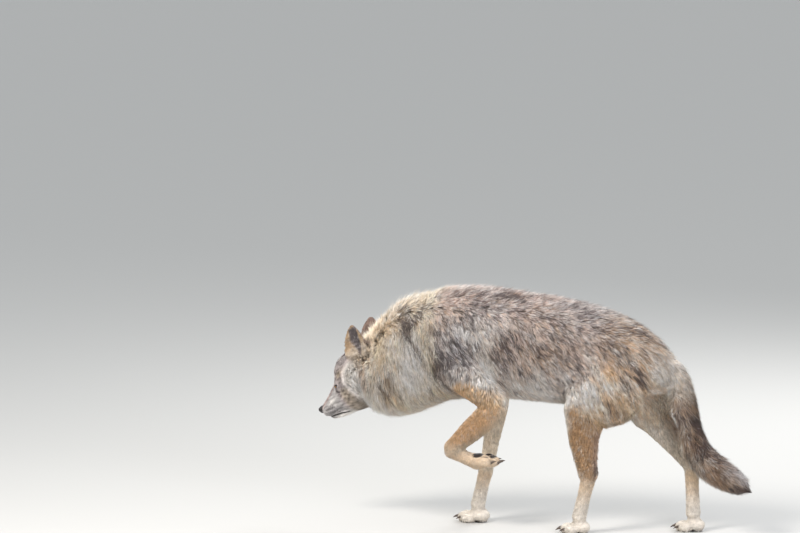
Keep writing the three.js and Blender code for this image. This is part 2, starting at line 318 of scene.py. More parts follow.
# The way the coat lies: along the spine on top, back and down on the sides, down the legs, and
# from root to tip on the ears and tail.
lie = np.zeros_like(shell)
on_top = ease(nz, 0.45, 0.9)[:, None]
below = ease(nz, -0.4, -0.9)[:, None]
on_nape = (ease(np.abs(ny), 0.85, 0.45) * ease(nz, 0, 0.25))[:, None]
SIDE_LIE = {"neck": (0.42, 0, -0.9), "chest": (0.62, 0, -0.78), "loin": (0.78, 0, -0.62),
            "rump": (0.68, 0, -0.74), "thigh": (0.5, 0, -0.86)}
for kind, way in SIDE_LIE.items():
    here = of_kind(kind)
    spine = np.maximum(on_top, on_nape) if kind == "neck" else on_top
    field = mix(np.array(way), np.array([1, 0, 0.1]), spine)
    field = mix(field, np.array([0.9, 0, -0.35]), below)
    lie[here] = field[here]
lie = mix(lie, np.array([0.12, 0, -0.99]), 0.8 * hanging[:, None])
for leg, chain in LEGS.items():
    stops = [*(middle(part + leg) for part in chain), toes(leg)]
    for k, part in enumerate(chain):
        if part == "thigh_":
            continue
        before = stops[k] - stops[k - 1] if k else stops[1] - stops[0]
        way = unit(0.6 * unit(stops[k + 1] - stops[k]) + 0.4 * unit(before))
        lie[is_node[part + leg]] = way
tail_stops = [middle("rump") + [0.06, 0, 0.02], *(middle(f"tail_{k}") for k in ("root", "middle", "tip"))]
for k, part in enumerate(("tail_root", "tail_middle", "tail_tip")):
    ahead = tail_stops[k + 2] - tail_stops[k + 1] if k < 2 else np.array([0.78, 0, -0.4])
    lie[is_node[part]] = unit(unit(tail_stops[k + 1] - tail_stops[k]) + unit(ahead))
falls = (0.95 * ease(behind_ruff_edge(local), -40, 14) * ease(hz, 112, 62))[:, None]
head_lie = mix(head_x, -head_z, falls)
lie[on_head | of_kind("jaw")] = head_lie[on_head | of_kind("jaw")]
for side, ear in zip((-1, 1), ("ear_left", "ear_right")):
    base, tip = from_head([[EAR_ROOT_X, side * 62, EAR_LOW], [EAR_TIP_X, side * 75, EAR_HIGH]])
    lie[is_node[ear]] = unit(tip - base)

# The mane along the top of the neck stands up more than the rest.
crest = (of_kind("neck") | (on_head & (hx > 225))) * ease(nz, 0.1, 0.6)
nape = crest * ease(hx, 215, 240) * ease(hx, 400, 310)
lie = unit(lie) * (1 - 0.25 * crest - 0.4 * nape)[:, None]
fields = np.column_stack([depth, length, width, lie])
soft_head = on_head | of_kind("jaw", "ear")
light = relax(fields, shell_edges, 6)
strong = relax(light, shell_edges, 60)
keep = relax(soft_head[:, None].astype(float) * (1 - back)[:, None]
             + of_kind("ear", "paw")[:, None], shell_edges, 8).clip(0, 1)
fields = mix(strong, light, keep)
depth, length = fields[:, 0], fields[:, 1]
even_normals = unit(mix(relax(shell_normals, shell_edges, 40), relax(shell_normals, shell_edges, 3), keep))

# The skin lies inside the solids by the coat's depth. Where that turns a thin fold over, as at
# the back of the thigh, it is drawn smooth.
TURNED = 0.35  # cosine of the most that a place may turn from the outline's own way
inner = shell - even_normals * (depth * MM)[:, None]
inner = mix(relax(inner, shell_edges, 12), inner, keep)
for _ in range(3):
    move(outer, inner)
    turned = ((normals_of(outer) * even_normals).sum(1) < TURNED).astype(float)[:, None] * (1 - keep)
    turned = (relax(turned, shell_edges, 12) * 6).clip(0, 1)
    inner = mix(inner, relax(inner, shell_edges, 60), turned)

thin = relax(of_kind("ear")[:, None].astype(float), shell_edges, 3)
inner = mix(fair(inner, shell_edges, 14), fair(inner, shell_edges, 3), thin)
q = in_head(inner)
ear_line = mix(EAR_ROOT_X, EAR_TIP_X, (q[:, 2] - EAR_LOW) / (EAR_HIGH - EAR_LOW))
q[:, 0] += 0.13 * (q[:, 0] - ear_line) * thin[:, 0]  # the rims, rounded off above, at their full width
inner = from_head(q)
soles = of_kind("paw") & (shell[:, 2] < 5 * MM)
inner[soles, 2] = np.minimum(inner[soles, 2], 1 * MM)
inner[:, 2] = np.maximum(inner[:, 2], 0.4 * MM)

# How much each vertex belongs to each part of the body, for its colours.
GROUPS = {
    "head": ["head", "jaw"], "ear": ["ear"], "neck": ["neck"], "trunk": ["chest", "loin", "rump"],
    "arm": ["upper_arm"], "fore": ["forearm"], "foot": ["pastern", "paw"], "thigh": ["thigh"],
    "shank": ["shank"], "tail": ["tail_root", "tail_middle", "tail_tip"],
}
belongs = np.column_stack([of_kind(*kinds) for kinds in GROUPS.values()]).astype(float)
belongs = relax(belongs, shell_edges, 14)
known = np.column_stack([fields, belongs])

# ---- the skin itself: coarser under the long coat, finer on the face ----
move(outer, inner)
skin = put("skin", outer)
coarse = skin.vertex_groups.new(name="coarse")
under_long = ease(length, 16, 30) * 0.97
STEPS = 20
for level in range(1, STEPS + 1):
    chosen = np.nonzero(np.round(under_long * STEPS).astype(int) == level)[0]
    if len(chosen):
        coarse.add(chosen.tolist(), level / STEPS, "REPLACE")
decimate = skin.modifiers.new("decimate", "DECIMATE")
decimate.ratio, decimate.vertex_group, decimate.vertex_group_factor = 0.3, "coarse", 1.0
thinned = as_modified(skin)
skin.modifiers.clear()
skin.data = thinned
skin.vertex_groups.clear()

EYE_LONG, EYE_HIGH = 11.0, 4.6  # half of the opening between the lids


def eye_axes(side):
    """Where an eye looks, the long way of its opening from the nose outwards, and up."""
    looks = unit(np.array([-0.66, side * 0.72, 0.1]))
    long = np.array([0.74, side * 0.42, 0.36])
    long = unit(long - looks * (long @ looks))
    up = np.cross(looks, long)
    return looks, long, up * np.sign(up[2])


def eye_centre(side):
    return np.array([EYE_AHEAD, side * EYE_SIDE, EYE_UP])


def eye_place(q, side):
    """Places in the head's frame as seen from an eye: along its gaze, along its opening, and up."""
    return ((q - eye_centre(side)) @ axis for axis in eye_axes(side))


def opening(long):
    """Half the height between the lids at each place along the opening."""
    return EYE_HIGH * np.clip(1 - (long / EYE_LONG) ** 2, 0, 1) ** 0.75


LIP = np.array([[16, -19], [30, -26], [54, -31], [80, -37], [98, -43], [110, -46]], float)


def over_lip(q):
    """How far a place in the head's frame is over the line between the lips."""
    return q[:, 2] - np.interp(q[:, 0], LIP[:, 0], LIP[:, 1])


def finer(bm, chosen):
    """Cuts each edge of the chosen faces in two. Chosen takes middles in the head's frame."""
    bm.faces.ensure_lookup_table()
    middles = in_head(np.array([f.calc_center_median() for f in bm.faces]))
    picked = [bm.faces[i] for i in np.nonzero(chosen(middles))[0]]
    edges = list({e for f in picked for e in f.edges})
    bmesh.ops.subdivide_edges(bm, edges=edges, cuts=1, use_grid_fill=True)


def near_eyes(q, reach):
    return np.linalg.norm(folded(q) - [EYE_AHEAD - 4, EYE_SIDE + 4, EYE_UP], axis=1) < reach


def by_lips(q):
    return (q[:, 0] < 112) & (np.abs(over_lip(q)) < 5) & (np.abs(q[:, 1]) < 60)


form = bmesh.new()
form.from_mesh(thinned)
finer(form, lambda q: (q[:, 0] < 150) & (np.abs(q[:, 1]) < 70) & (q[:, 2] > -62) & (q[:, 2] < 120))
finer(form, lambda q: near_eyes(q, 24) | by_lips(q))
finer(form, lambda q: near_eyes(q, 19))
form.to_mesh(thinned)
form.free()

# The face: swellings and hollows in the head's frame, in mm, then the lids and the lips.
SWELLINGS = [
    # place, size, height
    ((50, 31, -8), (21, 13, 17), 2.8),  # whisker pads
    ((148, 26, 86), (19, 17, 18), 5.6),  # brows
    ((120, 50, 10), (20, 14, 12), 2.0),  # cheekbones
    ((127, 36, 60), (15, 10, 8), 3.0),  # ridges over the eyes
    ((112, 22, 68), (9, 15, 9), -4.5),  # the stop, between the eyes
    ((98, 36, 26), (14, 10, 13), -2.2),  # hollows before the eyes
    ((82, 40, -14), (13, 12, 15), -2.0),  # behind the whisker pads
    ((134, 0, 98), (26, 6, 22), -3.2),  # the furrow down the middle of the forehead
]
LID, SUNK = EYE_RADIUS + 1.3, EYE_RADIUS - 1.6  # how far the lids and the skin behind the eye stand
co = points_of(thinned)
q = in_head(co)
qn = normals_of(thinned) @ HEAD_AXES.T
rise = sum(high * hill(q, place, size) for place, size, high in SWELLINGS)
on_face = (q[:, 0] < 190) & (q[:, 0] > -15) & (np.abs(q[:, 1]) < 90) & (np.abs(q[:, 2]) < 130)
q[on_face] += (qn * rise[:, None])[on_face]
for side in (-1, 1):
    looks, long_axis, up_axis = eye_axes(side)
    ahead, long, high = eye_place(q, side)
    out = np.hypot(long, high)
    near = on_face & (out < 27) & (ahead > -4) & (np.sign(q[:, 1]) == side)
    inside = opening(long) - np.abs(high)
    inside = np.where(np.abs(long) > EYE_LONG, EYE_LONG - np.abs(long), inside)
    lid = np.sqrt(np.clip(LID**2 - np.minimum(out, 11.5) ** 2, 1, None))
    lid = lid + 0.9 * np.exp(-((inside + 2.2) / 1.6) ** 2) - np.clip(out - 11.5, 0, 20) * 0.55
    lid = mix(lid, ahead, ease(out, 13, 25))
    sunk = np.sqrt(np.clip(SUNK**2 - out**2, 0, None))
    target = mix(lid, np.minimum(sunk, lid - 2), ease(inside, -0.15, 0.5))
    q[near] += ((target - ahead)[:, None] * looks)[near]
gap = over_lip(q)
lips = on_face & (q[:, 0] < 110) & (np.abs(gap) < 8) & (np.abs(q[:, 1]) > 3)
fades = ease(q[:, 0], 110, 96) * ease(q[:, 0], 10, 22)
groove = -2.6 * np.exp(-(gap / 1.5) ** 2) + 1.0 * np.exp(-(((gap - 3.5) / 2.2) ** 2))
q[lips] += (qn * (groove * fades)[:, None])[lips]
co[on_face] = from_head(q[on_face])
move(thinned, co)
thinned.shade_smooth()


# ---- the pads of the feet ----
PADS = [(38, 12, 14, 9), (20, 29, 13, 9), (-8, 9, 17, 19)]  # ahead, aside, half as long, half as wide


def pad_cover(foot, points, normals):
    """How much each place is part of one of a foot's five pads, from the foot's own frame: ahead
    to the toes, across them, and up from the ground."""
    inner_left, inner_right, outer_left, outer_right = (middle(f"claw_{foot}_{k}") for k in (1, 2, 3, 4))
    across = unit(inner_left - inner_right)
    front, behind = (inner_left + inner_right) / 2, (outer_left + outer_right) / 2
    ahead = unit((front - behind) - across * ((front - behind) @ across))
    up = np.cross(ahead, across)
    size = 0.92 if foot.startswith("hind") else 1.0
    from_heel = (points - (front - ahead * 72 * size * MM - up * 15 * size * MM)) / (MM * size)
    a, c, u = from_heel @ ahead, from_heel @ across, from_heel @ up
    under = ease(-(normals @ up), 0.1, 0.6) * (np.abs(u) < 22)
    cover = np.zeros(len(points))
    for at, side, long, wide in PADS:
        cover = np.maximum(cover, ease(np.hypot((a - at) / long, (np.abs(c) - side) / wide), 1.25, 0.7))
    return cover * under


co, ways = points_of(thinned), normals_of(thinned)
move(thinned, co + ways * (2.2 * MM * pad_cover("fore_left", co, ways))[:, None])
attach(skin, "root")
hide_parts(*FLESH)

# ---- what is known at each vertex of the skin ----
# The coat's depth, length, width and lie, then the share of each of the GROUPS. The depth is
# measured again, out to the solids' outline.
skin_points, skin_normals, skin_edges = points_of(thinned), normals_of(thinned), edges_of(thinned)
skin_local = in_head(skin_points)
hx, hy, _ = skin_local.T
skin_known = known[which_is_nearest(inner, skin_points)]
planned = skin_known[:, 0]
outwards = unit(relax(skin_normals, skin_edges, 5)).tolist()
to_outline = [outline_tree.ray_cast(p, w)[3] or 0 for p, w in zip(skin_points.tolist(), outwards)]
to_outline = np.clip(np.array(to_outline) / MM, 0.6 * planned, 1.5 * planned + 4)
skin_known[:, 0] = relax(to_outline[:, None], skin_edges, 4)[:, 0]
between_ears = ease(hx, 222, 240) * ease(hx, 330, 285) * ease(np.abs(hy), 55, 35)
skin_known[:, 0] += 9 * between_ears * ease(skin_normals @ head_z, 0.1, 0.6)
tail_front = skin_known[:, 6 + list(GROUPS).index("tail")] * ease(skin_normals[:, 0], -0.2, -0.8)
tail_front *= ease(skin_points[:, 2], 0.35, 0.39) * ease(skin_points[:, 2], 0.50, 0.46)
skin_known[:, 0] += 18 * tail_front
thinned.calc_loop_triangles()
skin_triangles = read(thinned.loop_triangles, "vertices", 3, np.int32)
skin_tree = BVHTree.FromPolygons(skin_points.tolist(), skin_triangles.tolist())

# ---- materials ----
def linear(colour):
    """An sRGB colour such as 0xcdb995 as linear red, green, blue and alpha."""
    parts = np.array([(colour >> shift & 255) / 255 for shift in (16, 8, 0)])
    return (*np.where(parts <= 0.04045, parts / 12.92, ((parts + 0.055) / 1.055) ** 2.4), 1.0)


def wire(node, inputs):
    """Sets a shader node's inputs to numbers, or to the sockets that feed them."""
    for socket, value in inputs.items():
        if isinstance(value, bpy.types.NodeSocket):
            node.id_data.links.new(value, node.inputs[socket])
        else:
            node.inputs[socket].default_value = value


def add(tree, kind, inputs, result, stops=(), **settings):
    """Adds a shader node and returns one of its outputs. Stops are a ramp's places and colours."""
    node = tree.nodes.new("ShaderNode" + kind)
    for name, value in settings.items():
        setattr(node, name, value)
    wire(node, inputs)
    for k, (at, colour) in enumerate(stops):
        ramp = node.color_ramp.elements
        stop = ramp[k] if k < len(ramp) else ramp.new(at)
        stop.position, stop.color = at, linear(colour)
    return node.outputs[result]


def noise(tree, scale, detail=2.0):
    """Fine random grain through the object's own space."""
    place = add(tree, "TexCoord", {}, "Object")
    return add(tree, "TexNoise", {"Vector": place, "Scale": scale, "Detail": detail}, "Fac")


def ranged(tree, value, low, high, start=0.0, end=1.0):
    """A value from start to end, brought to one from low to high."""
    return add(tree, "MapRange", {"Value": value, "From Min": start, "From Max": end,
                                  "To Min": low, "To Max": high}, "Result")


def scaled(tree, colour, level):
    return add(tree, "VectorMath", {0: colour, 3: level}, "Vector", operation="SCALE")


def grained(tree, scale, detail, stops):
    """A colour that wanders between two in fine grain, and the grain."""
    grain = noise(tree, scale, detail)
    return add(tree, "ValToRGB", {"Fac": grain}, "Color", stops=stops), grain


def kept(tree, name, result="Fac"):
    """A value kept at each vertex."""
    return add(tree, "Attribute", {}, result, attribute_name=name)


def material(name):
    """A new material with its node tree and its shader."""
    made = bpy.data.materials.new(name)
    made.use_nodes = True
    return made, made.node_tree, made.node_tree.nodes["Principled BSDF"]


def finished(name, mesh, slot, mat, *replaced):
    """A finished piece at the origin, riding on the body, with its smooth faces and material."""
    mesh.shade_smooth()
    mesh.materials.clear()
    mesh.materials.append(mat)
    piece = put(name, mesh)
    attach(piece, "root")
    if replaced:
        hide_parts(*replaced)


# ---- camera, light and floor ----
AIM = Vector((-0.4564, 0.0651, 0.8150))
AZIMUTH, ELEVATION = math.radians(15), math.radians(8)
AWAY = 30.0
PICTURE_WIDTH = 2.55591  # metres across at the wolf
camera_data = bpy.data.cameras.new("camera")
camera = put("camera", camera_data)
backwards = Vector((math.sin(AZIMUTH) * math.cos(ELEVATION), -math.cos(AZIMUTH) * math.cos(ELEVATION),
                    math.sin(ELEVATION)))
camera.location = AIM + backwards * AWAY
camera.rotation_mode = "QUATERNION"
camera.rotation_quaternion = (-backwards).to_track_quat("-Z", "Y")
camera_data.sensor_width = 36
camera_data.lens = camera_data.sensor_width * AWAY / PICTURE_WIDTH
camera_data.clip_end = 100
bpy.context.scene.camera = camera


def light(name, place, aim, size, power, colour=0xFFFFFF):
    data = bpy.data.lights.new(name, "AREA")
    data.shape, data.size, data.energy, data.color = "DISK", size, power, linear(colour)[:3]
    lamp = put(name, data)
    lamp.location = place
    lamp.rotation_mode = "QUATERNION"
    lamp.rotation_quaternion = (Vector(aim) - Vector(place)).to_track_quat("-Z", "Y")


light("key", (-1.6, -2.6, 3.4), (0, 0, 0.4), 1.6, 180, 0xFFFAF4)
light("fill", (3.0, -3.2, 1.6), (0.2, 0, 0.4), 2.2, 108, 0xF4F5FF)
light("rim", (0.8, 3.0, 2.8), (0, 0, 0.5), 2.0, 90)
world = bpy.data.worlds.new("studio")
world.use_nodes = True
wire(world.node_tree.nodes["Background"], {"Color": linear(0xE4E8EC), "Strength": 1.0})
scene.world = world
scene.view_settings.view_transform = "Standard"

ground = bmesh.new()
bmesh.ops.create_grid(ground, x_segments=1, y_segments=1, size=90)
floor = put("floor", mesh_of(ground, "floor"))
paint, tree, shader = material("matt_floor_paint")
wire(shader, {"Base Color": linear(0xBDBCB9), "Roughness": 0.85})
floor.data.materials.append(paint)

# ---- markings, shared by the skin and the coat ----
# Places are in mm from the floor under the withers, and the two sides are alike.
WITHERS = np.array([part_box("chest")[0].x + 0.070, 0, 0])
WHITE, CREAM, PALE_TAN, TAN, ORANGE_TAN, BROWN, RED_BROWN, GREY, DARK, BLACK, SKIN_BARE = (
    np.array(linear(value)[:3]) for value in (
        0xF6F1EA, 0xEADFCF, 0xDFC8A6, 0xCBA882, 0xD6AC80, 0xB49C95, 0xC4A197, 0xD0CAC9, 0x463C3E,
        0x17120F, 0x241D1B))


def soft_spot(p, x, z, wide, high):
    """A soft-edged spot of 1 at x and z on both flanks."""
    return np.exp(-(((p[:, 0] - x) / wide) ** 2 + ((p[:, 2] - z) / high) ** 2))


def soft_line(places, start, end, wide):
    """A soft-edged line of 1 between two places."""
    start, way = np.array(start, float), np.array(end, float) - start
    from_start = places - start
    t = np.clip(from_start @ way / (way @ way), 0, 1)
    return np.exp(-((from_start - t[:, None] * way) ** 2).sum(1) / wide**2)


def waves(p, size, seed):
    """Smooth random patches from -1 to 1 of about this size in mm, the same in each run."""
    turns = np.random.default_rng(seed)
    total = np.zeros(len(p))
    for _ in range(9):
        way = unit(turns.normal(size=3)) * (2 * math.pi / size) * turns.uniform(0.5, 1.4)
        total += np.sin(p @ way + turns.uniform(0, 6.3))
    return np.clip(total / 4, -1, 1)


def markings(points, normals, share):
    """The coat's colour at places on the skin, how many of the tufts there are dark-tipped, and how
    many pale. Share is how much each place belongs to each of the GROUPS."""
    p, q = (points - WITHERS) / MM, in_head(points)
    (x, y, z), (qx, qy, qz), (nx, _, nz) = p.T, q.T, normals.T
    s = np.abs(qy)
    # spots and lines over both flanks, placed by x and z, and strokes on both sides of the head
    spot, line = partial(soft_spot, p), partial(soft_line, p[:, [0, 2]])
    stroke = partial(soft_line, folded(q))
    top = ease(nz, 0.35, 0.85)
    of = {name: share[:, k:k + 1] for k, name in enumerate(GROUPS)}
    weigh = sum(of.values())

    def blend(base, *layers):
        base = base * np.ones((len(p), 1))
        for colour, amount in layers:
            base = mix(base, colour, np.clip(amount, 0, 1)[:, None])
        return base

    patchy = waves(p, 190, 3)
    fine = waves(p, 80, 5)
    # streaks along the lie of the coat on the flanks and, over the back, along the spine
    along, over = 0.68 * x - 0.73 * z, mix(0.73 * x + 0.68 * z, y, top)
    lay = np.column_stack([0.3 * along, 0.5 * y, over])
    bands, patches, mottle = waves(lay, 32, 12), waves(lay, 60, 13), waves(lay, 17, 9)
    facing = waves(q * [0.45, 1, 1], 11, 21)
    neck = blend(1.06 * mix(CREAM, PALE_TAN, 0.68),
                 (PALE_TAN, 0.5 + 0.4 * fine - 0.5 * ease(x, -140, -60)),
                 (TAN, 0.5 * spot(-265, 650, 70, 60)),
                 (0.75 * TAN, 0.65 * spot(-206, 500, 44, 48)),
                 (WHITE, 0.6 * ease(bands, 0.05, 0.5)),
                 (WHITE, 0.8 * spot(-285, 450, 50, 110) + 0.35 * ease(z, 470, 380)),
                 (WHITE, 0.25 * top * ease(x, -20, -80) + spot(-134, 548, 40, 88)),
                 (0.78 * PALE_TAN, 0.5 * top * ease(x, -60, -120)))
    back_line = ease(z, 640, 720)
    belly_line = ease(z, 500, 430)
    patch_at = np.hypot((x - 62) / 74, (z - 446) / 40) + 0.12 * fine + 0.06 * mottle
    arm_patch = ease(patch_at, 1.12, 0.88) * ease(np.abs(y), 40, 60)
    rump = ease(x, 430, 560) * ease(z, 730, 660)
    buff = spot(682, 535, 46, 62)
    trunk = blend(mix(CREAM, GREY, 0.5),
                  (BROWN, 0.42 + 0.3 * fine),
                  (mix(RED_BROWN, ORANGE_TAN, 0.4), 0.55 * spot(300, 600, 150, 60)),
                  (mix(RED_BROWN, TAN, 0.3), 0.5 * back_line * ease(x, 420, 250)),
                  (GREY, 0.5 * ease(x, 110, 30) * ease(z, 700, 640) + 0.35 * patchy),
                  (WHITE, 0.8 * spot(122, 540, 30, 130) + 0.45 * spot(330, 490, 190, 50)),
                  (TAN, 0.35 * spot(330, 590, 120, 60) + 0.3 * ease(fine, 0.2, 0.8)),
                  (mix(CREAM, GREY, 0.5), 0.9 * belly_line * ease(x, 560, 420)),
                  (WHITE, 0.35 * ease(bands, 0.1, 0.6) + 0.5 * spot(64, 653, 60, 34)),
                  (mix(ORANGE_TAN, CREAM, 0.15), 0.85 * rump),
                  (WHITE, 0.7 * rump * ease(bands, 0.1, 0.5)),
                  (mix(CREAM, ORANGE_TAN, 0.3), 1.3 * buff),
                  (WHITE, 1.2 * buff * ease(bands, 0.1, 0.5)))
    behind = behind_ruff_edge(q)
    bridge = ease(qz - np.interp(qx, [14, 29, 50, 78, 102], [17, 23, 31, 46, 60]), -17, -7)
    bridge *= ease(qx, 122, 100)
    cheek_light = ease(behind, -18, 16) * ease(behind, 85, 40)
    head = blend(0.78 * mix(GREY, RED_BROWN, 0.25),
                 # the muzzle's grey-white, dimmed to little more than half: partly its own colour, partly
                 # painted shade
                 (0.58 * mix(WHITE, GREY, 0.7), 0.95 * ease(qx, 118, 92)),
                 (0.8 * WHITE, 0.8 * hill(q, (70, 38, 8), (14, 20, 12))),
                 (0.85 * mix(RED_BROWN, GREY, 0.3), 0.8 * bridge),
                 (WHITE, ease(qz, -30, -46) * ease(qx, 150, 100)),
                 # dim grey-tan on the cheek below and behind the eye, in front of the ruff: partly the
                 # cheek's colour, partly painted shade
                 (0.8 * mix(GREY, PALE_TAN, 0.6), 0.85 * ease(qx, 108, 130) * ease(behind, 0, -12)
                  * ease(qz, 36, 14)),
                 (0.9 * PALE_TAN, 0.9 * hill(q, (158, 42, 70), (22, 14, 12))),
                 (0.5 * BROWN, 0.8 * ease(s, 12, 3) * ease(qx, 112, 128) * ease(qx, 215, 180)),
                 (0.7 * BROWN, 0.85 * stroke((207, 60, 96), (164, 54, 66), 7)),
                 (WHITE, 0.9 * cheek_light * ease(qz, 104, 74)),
                 (TAN, 0.45 * ease(behind, 40, 75)),
                 (PALE_TAN, 0.6 * ease(qx, 195, 250) * ease(qz, 40, 80)))
    head *= (1 + 0.1 * cheek_light + mix(0.3, 0.1, cheek_light) * facing
             # this last term darkens the cheek between the eye and the ruff's edge: painted shade
             - 0.2 * ease(qx, 118, 132) * ease(behind, 0, -14))[:, None]
    along_ear = (qz - EAR_LOW) / (EAR_HIGH - EAR_LOW)
    ear_turn = normals @ HEAD_AXES.T
    open_side = ease(ear_turn[:, 1] * np.sign(qy), 0.0, 0.5)
    across_ear = qx - mix(EAR_ROOT_X, EAR_TIP_X, along_ear)
    hollow = open_side * ease(np.abs(across_ear), 29 - 8 * along_ear, 20 - 8 * along_ear)
    hollow *= ease(along_ear, 0.97, 0.86)
    hollow_dark = hollow * ease(along_ear + 0.016 * across_ear, 0.06, 0.34)
    ear = blend(0.72 * mix(PALE_TAN, TAN, 0.75),
                (0.8 * mix(RED_BROWN, DARK, 0.25), 0.75 * (1 - open_side)),
                (mix(GREY, DARK, 0.8), 0.95 * hollow_dark),
                (GREY, 0.5 * hollow * ease(along_ear, 0.75, 0.4) * ease(facing, 0, 0.6)),
                (DARK, 0.9 * stroke((262, 66, 132), (286, 66, 100), 7)),
                (0.9 * CREAM, 0.5 * open_side * (1 - hollow_dark) * ease(along_ear, 0.4, 0.1)))
    ear *= 0.84 * (1 + 0.28 * facing)[:, None]
    tan_arm = mix(ORANGE_TAN, PALE_TAN, 0.35) * 1.14
    arm = blend(tan_arm,
                (CREAM, 0.5 * ease(nx, 0.3, 0.9) + 0.25 * fine),
                (WHITE, 0.8 * ease(nx, 0.5, 0.95) * ease(z, 400, 440)))
    arm = mix(arm, trunk, (ease(z + 18 * fine, 450, 484) * (1 - arm_patch))[:, None])
    trunk, neck = (blend(colours, (tan_arm, 0.95 * arm_patch)) for colours in (trunk, neck))
    fore = blend(mix(ORANGE_TAN, TAN, 0.5),
                 (mix(CREAM, PALE_TAN, 0.4), 0.8 * ease(nx, -0.1, 0.8)
                  + 0.9 * ease(np.abs(y), 80, 62) + 0.7 * ease(z, 300, 250) * ease(x, 100, 60)))
    foot = blend(mix(CREAM, WHITE, 0.3),
                 (mix(PALE_TAN, ORANGE_TAN, 0.4), 0.7 * ease(z, 70, 170)))
    thigh = blend(mix(ORANGE_TAN, PALE_TAN, 0.5),
                  (BROWN, 0.1 + 0.3 * patches),
                  (WHITE, 0.4 * ease(bands, 0.1, 0.6) + 0.9 * spot(430, 470, 52, 44)
                   + 0.7 * spot(500, 498, 75, 24) + 0.5 * ease(nx, -0.3, -0.9)),
                  (ORANGE_TAN, 0.4 * ease(-bands, 0.1, 0.6) * ease(z, 440, 480)),
                  (mix(CREAM, ORANGE_TAN, 0.3), 1.2 * buff + spot(640, 440, 45, 40)),
                  (WHITE, 1.2 * buff * ease(bands, 0.1, 0.5)))
    shank = blend(0.86 * mix(ORANGE_TAN, TAN, 0.3),
                  (WHITE, 0.8 * ease(nx, -0.2, -0.8) * ease(z, 320, 370)),
                  (CREAM, 0.8 * ease(nx, -0.4, -0.9) + 0.6 * ease(z, 230, 110)
                   + 0.9 * ease(np.abs(y), 80, 60)),
                  (BROWN, 0.5 * ease(nx, 0.2, 0.8) * ease(z, 140, 220)))
    tail = blend(0.56 * mix(ORANGE_TAN, BROWN, 0.4),
                 (CREAM, 0.2 * ease(nx, 0.1, -0.8) + 0.4 * ease(bands, 0.1, 0.7)
                  + 0.5 * ease(z, 440, 500)),
                 (mix(CREAM, ORANGE_TAN, 0.3), 1.1 * buff),
                 # grey over the upper side of the tail's end: a painted sheen
                 (GREY, 0.75 * ease(x, 830, 900) * ease(nz, 0.2, 0.7)))
    parts = {"head": head, "ear": ear, "neck": neck, "trunk": trunk, "arm": arm, "fore": fore,
             "foot": foot, "thigh": thigh, "shank": shank, "tail": tail}
    base = sum(of[k] * parts[k] for k in GROUPS) / np.maximum(weigh, 1e-6)

    dark = {
        "head": 0.1 + 0.3 * ease(qz, 70, 105) * ease(qx, 110, 150) * (1 - 0.8 * ease(s, 14, 40))
        + 0.95 * stroke((112, 36, 36), (114, 42, 10), 5.5)
        + 0.9 * stroke((112, 28, 58), (134, 42, 58), 6)
        # the stroke just behind the ear's root is a painted shadow between the ear and the ruff
        + 0.2 * ease(behind, 60, 90) + 0.8 * stroke((284, 66, 112), (302, 70, 94), 6) - 0.3 * cheek_light
        + 0.3 * ease(-facing, 0.2, 0.8) * (1 - cheek_light) - 0.1 * ease(qx, 110, 90)
        + 1.17 * sum(hill(q, (31 + 8.5 * k + 3 * r, 30, 8 - 9 * r - 2 * k), (2.3, 12, 2.3))
                     for r in range(4) for k in range(5)),
        "ear": 0.2 + 0.6 * hollow_dark + 0.35 * (1 - open_side),
        "neck": 0.1 - 0.15 * spot(-134, 540, 30, 80) + 0.06 * fine + 0.25 * mottle - 0.15 * bands
        + 0.75 * line((-184, 658), (-142, 648), 20) * (1 - top)
        + 0.55 * line((-167, 660), (-84, 697), 15) * (1 - 0.7 * top)
        + 0.5 * line((-142, 655), (-106, 592), 17) + 0.25 * line((-100, 592), (-104, 530), 13)
        + 0.34 * spot(-206, 500, 38, 40) + 0.3 * ease(x, -95, -50) * ease(z, 460, 520)
        - 0.12 * top * ease(x, -40, -90),
        "trunk": 0.27 + 0.14 * patchy + 0.1 * fine + 0.28 * mottle + 0.32 * spot(5, 560, 75, 115)
        + 0.36 * spot(210, 610, 85, 52) + 0.2 * spot(410, 465, 80, 50)
        + 0.2 * top * ease(x, -20, 60) - 0.5 * spot(122, 540, 34, 130) - 0.2 * belly_line
        - 0.2 * ease(x, 560, 640) * ease(z, 620, 560) - 0.6 * buff
        + 0.1 * bands + (0.1 + 0.35 * patches) * rump - 0.16 * spot(625, 615, 60, 42)
        - 0.25 * spot(64, 653, 60, 34)
        + 0.75 * spot(606, 526, 17, 38) + 0.6 * spot(738, 538, 20, 22),
        "arm": 0.04 + 0.28 * ease(z, 450, 484),
        "fore": 0.05 + 0 * x,
        "foot": 0.04 + 0 * x,
        "thigh": 0.26 + 0.3 * patches + 0.25 * mottle - 0.2 * ease(bands, 0, 0.5) + 0.1 * ease(z, 470, 540)
        - 0.25 * spot(440, 475, 65, 50) - 0.5 * buff - 0.2 * spot(640, 440, 45, 40),
        "shank": 0.07 + 0.5 * ease(nx, 0.3, 0.9) * ease(z, 320, 220) * ease(z, 140, 220),
        "tail": 0.34 + 0.15 * fine + 0.3 * mottle - 0.2 * ease(z, 440, 500)
        + 0.35 * ease(nx + 0.6 * nz, 0.2, 0.95)
        + 0.9 * line((792, 480), (826, 380), 17) + 0.35 * line((748, 410), (800, 404), 22)
        + 0.6 * spot(905, 172, 55, 18) - 0.1 * ease(z, 470, 540)
        # fewer dark tips over the upper side of the tail's end: the same painted sheen
        - 0.4 * ease(x, 820, 880) * ease(nz, 0.1, 0.6),
    }
    mark = ease(2 * line((776, 468), (802, 396), 19) * of["tail"][:, 0], 0.3, 0.9)
    base = mix(base, BLACK, 0.92 * mark[:, None])
    dark = sum(of[k][:, 0] * dark[k] for k in GROUPS) / np.maximum(weigh[:, 0], 1e-6) * (1 - 0.9 * arm_patch)
